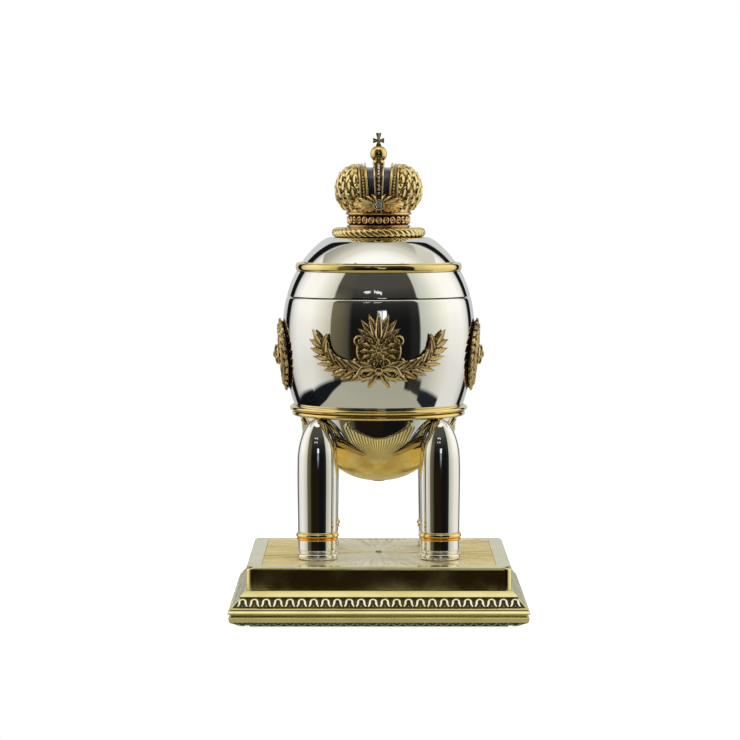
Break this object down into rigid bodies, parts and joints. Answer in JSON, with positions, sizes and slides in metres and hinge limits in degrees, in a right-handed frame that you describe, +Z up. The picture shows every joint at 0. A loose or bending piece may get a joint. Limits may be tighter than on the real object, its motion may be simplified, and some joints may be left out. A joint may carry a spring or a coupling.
{
  "type": "egg trinket box on a stand",
  "caption": "Egg-shaped trinket box with a hinged lid and a crown finial, carried by round-nosed legs on a stepped square plinth.",
  "frame": {"origin": "centre of the felt's underside, which is the lowest face", "axes": "+Z up through the egg and the crown; the front with the ornament and the opening side of the lid faces -Y; the hinge is at +Y"},
  "size_m": [0.122, 0.122, 0.1998],
  "materials": {
    "polished_steel": "mirror polished",
    "gold": "polished gilt",
    "antique_gold": "cast gilt with dark recesses",
    "pale_gold": "polished pale gilt, engraved on top",
    "enamel": "gloss black enamel",
    "brilliant": "clear cut stone",
    "velvet": "velvet lining on card",
    "felt": "green felt",
    "hardware": "plain, out of sight"
  },
  "bodies": {
    "stand": {"felt_pad": "felt", "base_cover": "hardware", "base_screw_1": "hardware", "base_screw_2": "hardware", "base_screw_3": "hardware", "base_screw_4": "hardware", "plinth_moulding": "pale_gold", "platform_slab": "pale_gold", "sunburst_plate": "pale_gold", "sunburst_rosette": "pale_gold", "leg_front_left": "polished_steel", "leg_front_right": "polished_steel", "leg_back_left": "polished_steel", "leg_back_right": "polished_steel", "leg_ring_front_left": "gold", "leg_ring_front_right": "gold", "leg_ring_back_left": "gold", "leg_ring_back_right": "gold", "leg_screw_front_left": "hardware", "leg_screw_front_right": "hardware", "leg_screw_back_left": "hardware", "leg_screw_back_right": "hardware", "cup_screw_front_left": "hardware", "cup_screw_front_right": "hardware", "cup_screw_back_left": "hardware", "cup_screw_back_right": "hardware", "cup_shell": "polished_steel", "lower_band": "gold", "barrel_shell": "polished_steel", "rim_bezel": "gold", "bowl_lining": "velvet", "calyx": "gold", "calyx_bolt": "gold", "calyx_nut": "hardware", "front_ornament": "antique_gold", "medallion_left": "antique_gold", "medallion_right": "antique_gold", "medallion_boss_left": "antique_gold", "medallion_boss_right": "antique_gold", "hinge_lower_leaf": "polished_steel", "hinge_pin": "polished_steel"},
    "lid": {"hinge_upper_leaf": "polished_steel", "lid_barrel": "polished_steel", "upper_band": "gold", "lid_dome": "polished_steel", "lid_lining": "velvet", "rope_ring": "gold", "crown_circlet": "antique_gold", "crown_cap": "enamel", "crown_lobe_left": "antique_gold", "crown_lobe_right": "antique_gold", "crown_arch": "gold", "crown_spray_front": "antique_gold", "crown_spray_back": "antique_gold", "crown_stone_front": "brilliant", "crown_stone_back": "brilliant", "crown_orb": "gold", "crown_nut": "hardware", "crown_cross": "antique_gold"}
  },
  "joints": [
    {"name": "lid_hinge", "type": "hinge", "parent": "stand", "child": "lid", "pos_m": [0, 0.04127, 0.13184], "axis": [-1, 0, 0], "range_deg": [0, 100]}
  ]
}
